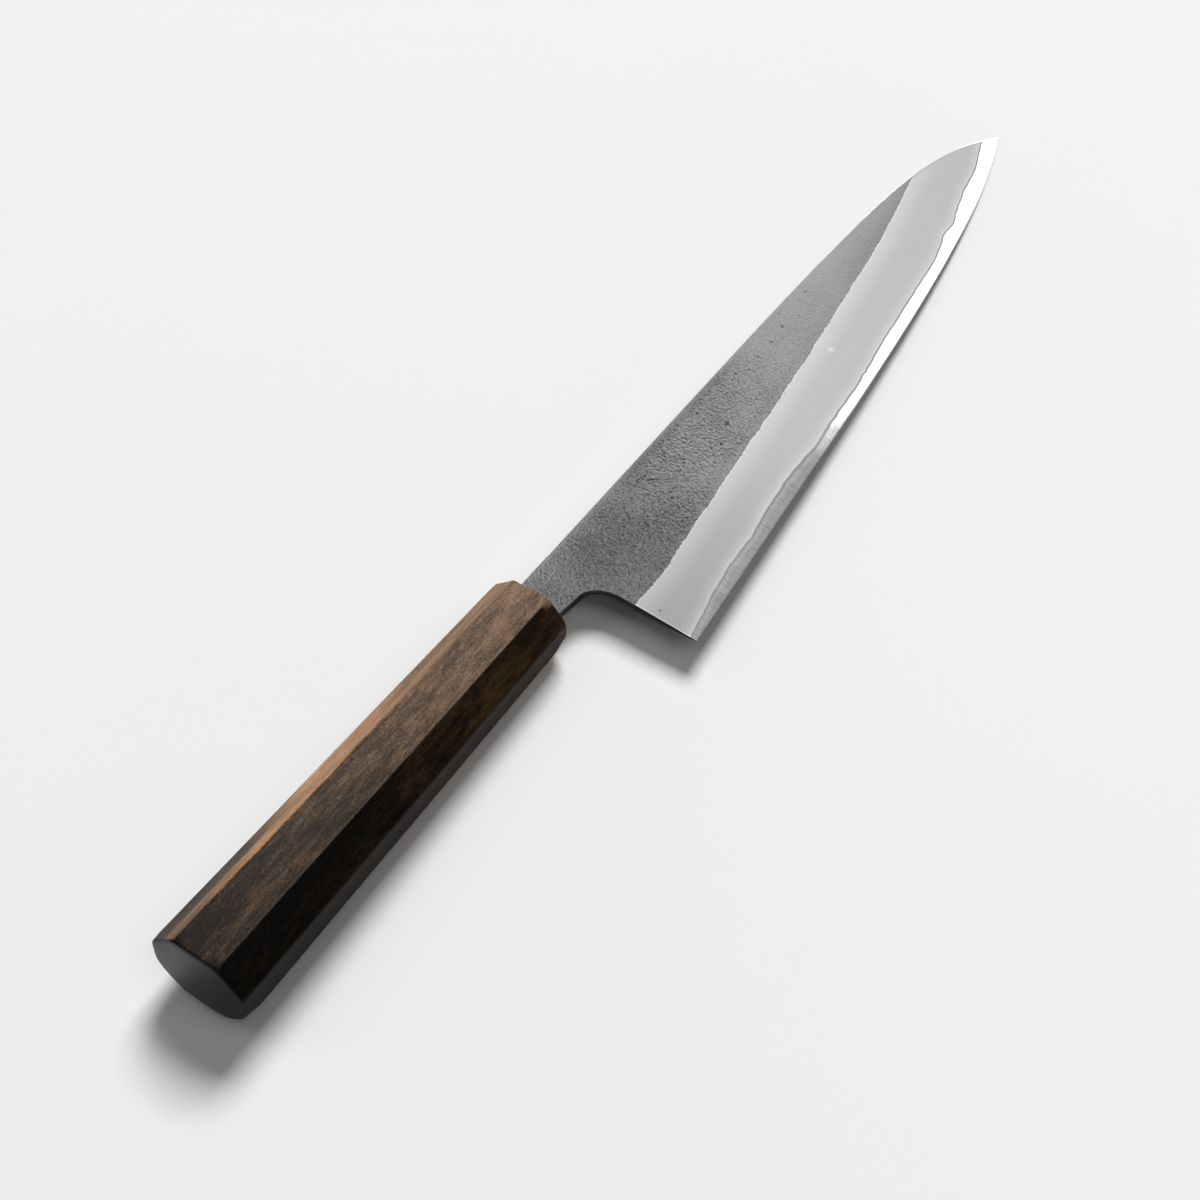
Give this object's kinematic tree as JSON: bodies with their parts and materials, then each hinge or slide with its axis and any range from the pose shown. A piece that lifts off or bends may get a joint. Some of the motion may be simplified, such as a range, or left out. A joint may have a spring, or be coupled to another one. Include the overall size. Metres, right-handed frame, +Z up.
{
  "type": "chef knife",
  "caption": "Japanese-style chef knife with a three-layer forged blade and a tapered octagonal wooden handle on a hidden tang.",
  "frame": {"origin": "on the table, under the centre of the knife's bounding box as it lies on its left side", "axes": "+X along the knife towards the tip, +Y towards the spine, +Z up, out of the right face"},
  "size_m": [0.3894, 0.055, 0.026],
  "materials": {
    "core_steel": "fine satin, near mirror towards the tip",
    "cladding": "dark pitted forge finish above, satin ground bevel below",
    "handle_wood": "stained and waxed",
    "dowel_wood": "bare",
    "adhesive": "cured epoxy",
    "seal": "smooth"
  },
  "bodies": {
    "root": {"core_steel": "core_steel", "cladding_right": "cladding", "cladding_left": "cladding", "handle_body": "handle_wood", "tang_dowel": "dowel_wood", "tang_adhesive": "adhesive", "mouth_seal": "seal"}
  },
  "joints": []
}
